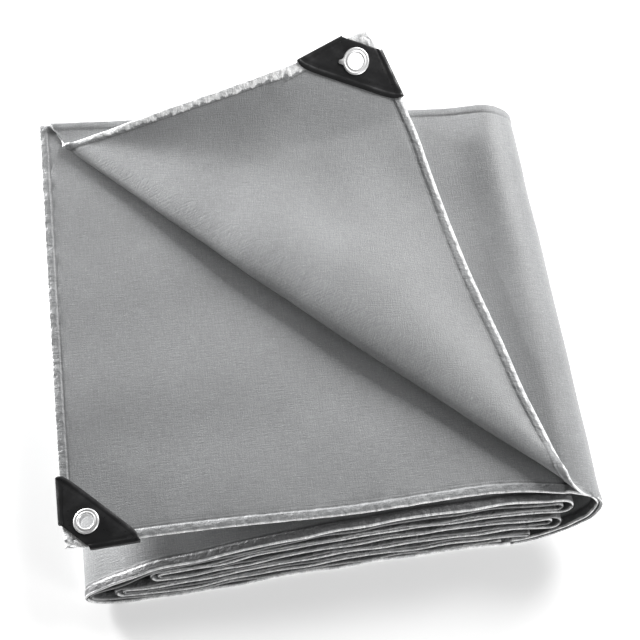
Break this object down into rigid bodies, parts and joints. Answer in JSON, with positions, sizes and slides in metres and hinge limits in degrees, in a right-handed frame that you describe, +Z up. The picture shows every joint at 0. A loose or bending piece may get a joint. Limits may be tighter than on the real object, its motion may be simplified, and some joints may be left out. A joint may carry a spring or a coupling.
{
  "type": "folded tarp",
  "caption": "Coated woven tarpaulin folded into a flat pack, top corner rolled back over a diagonal, hemmed edges, plastic corner patches with metal eyelets.",
  "frame": {"origin": "middle of the box round the pack, on the surface that it rests on", "axes": "+X along the pack's front edge towards its wrapped side, +Y from the front edge to the back, +Z up"},
  "size_m": [0.4292, 0.4646, 0.0984],
  "materials": {
    "tarp_cloth": "silver-grey coated tape weave, satin",
    "corner_patch": "moulded, glossy black",
    "eyelet": "pressed, bright"
  },
  "bodies": {
    "root": {"tarp_cloth": "tarp_cloth", "corner_patch_lower": "corner_patch", "corner_patch_upper": "corner_patch", "eyelet_lower": "eyelet", "eyelet_upper": "eyelet", "washer_lower": "eyelet", "washer_upper": "eyelet"}
  },
  "joints": []
}
